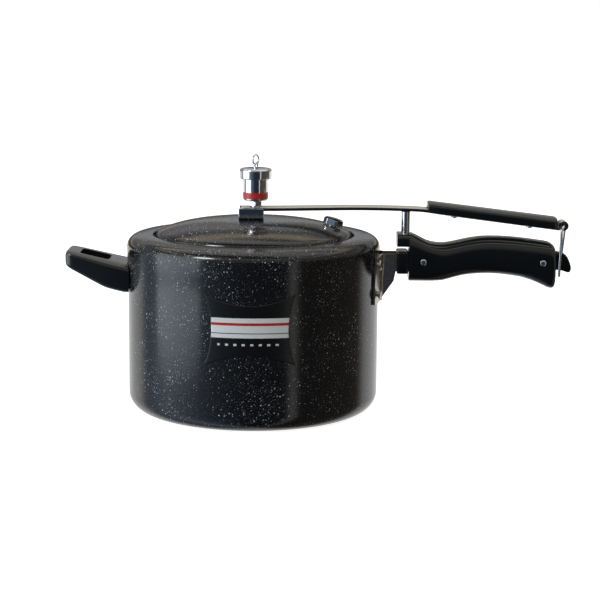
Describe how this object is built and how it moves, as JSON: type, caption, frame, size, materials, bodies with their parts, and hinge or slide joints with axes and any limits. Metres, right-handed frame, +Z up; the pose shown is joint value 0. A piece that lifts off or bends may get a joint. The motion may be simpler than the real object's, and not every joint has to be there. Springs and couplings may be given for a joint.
{
  "type": "stovetop pressure cooker",
  "caption": "Round pot with an inward-fitting oval lid hung from a sprung bar that rocks on a post and latches at the handle, with a vent weight, a safety valve and a helper handle.",
  "frame": {"origin": "centre of the pot's flat underside", "axes": "+X along the main handle, away from the pot; +Z up; +Y to the left of the handle, looking out along it"},
  "size_m": [0.4428, 0.222, 0.2241],
  "materials": {
    "speckled_coat": "hard dark coat with fine light specks",
    "label_foil": "printed foil, dark with a pale band, no lettering",
    "satin_steel": "plated pressed steel",
    "chrome": "polished",
    "moulding": "black phenolic moulding, semi-gloss",
    "rubber": "grey-black seal rubber",
    "red_band": "red",
    "fusible_alloy": "dull cast alloy"
  },
  "bodies": {
    "pot": {"pot_body": "speckled_coat", "body_bracket": "satin_steel", "bracket_rivet_1": "satin_steel", "bracket_rivet_2": "satin_steel", "bracket_rivet_3": "satin_steel", "bracket_rivet_4": "satin_steel", "flame_guard": "moulding", "main_handle": "moulding", "handle_screw_front": "chrome", "handle_screw_rear": "chrome", "handle_nut_front": "chrome", "handle_nut_rear": "chrome", "latch_hook": "moulding", "lid_stay": "chrome", "helper_handle": "moulding", "helper_bracket": "satin_steel", "helper_rivet_upper": "satin_steel", "helper_rivet_lower": "satin_steel", "helper_screw": "satin_steel", "label": "label_foil"},
    "bar": {"lid_bar": "chrome", "bar_grip": "moulding", "grip_screw_1": "chrome", "grip_screw_2": "chrome"},
    "lid": {"lid_plate": "speckled_coat", "lid_gasket": "rubber", "lid_saddle": "satin_steel", "saddle_pin": "satin_steel", "vent_pipe": "chrome", "vent_washer": "rubber", "vent_nut": "satin_steel", "safety_valve_body": "chrome", "safety_washer": "rubber", "safety_nut": "satin_steel", "fusible_plug": "fusible_alloy"},
    "loop": {"lock_loop": "chrome"},
    "weight": {"weight_body": "chrome", "weight_cap": "chrome", "weight_band": "red_band", "weight_cone": "satin_steel", "ring_stud": "chrome"},
    "ring": {"lift_ring": "chrome"}
  },
  "joints": [
    {"name": "bar_rock", "type": "hinge", "parent": "pot", "child": "bar", "pos_m": [0.1334, 0, 0.1762], "axis": [0, -1, 0], "range_deg": [0, 3.5]},
    {"name": "lid_level", "type": "hinge", "parent": "bar", "child": "lid", "pos_m": [-0.0084, 0, 0.1736], "axis": [0, -1, 0], "range_deg": [-3.5, 0]},
    {"name": "loop_swing", "type": "hinge", "parent": "bar", "child": "loop", "pos_m": [0.2713, 0, 0.1641], "axis": [0, -1, 0], "range_deg": [0, 112]},
    {"name": "weight_lift", "type": "slide", "parent": "lid", "child": "weight", "axis": [0, 0, 1], "range_m": [0, 0.03]},
    {"name": "ring_flop", "type": "hinge", "parent": "weight", "child": "ring", "pos_m": [0.0015, 0, 0.2149], "axis": [0.5299, 0.848, 0], "range_deg": [-95, 95]}
  ],
  "couplings": [
    {"joint": "lid_level", "follows": "bar_rock", "ratio": -1},
    {"joint": "loop_swing", "follows": "bar_rock", "ratio": 32}
  ]
}
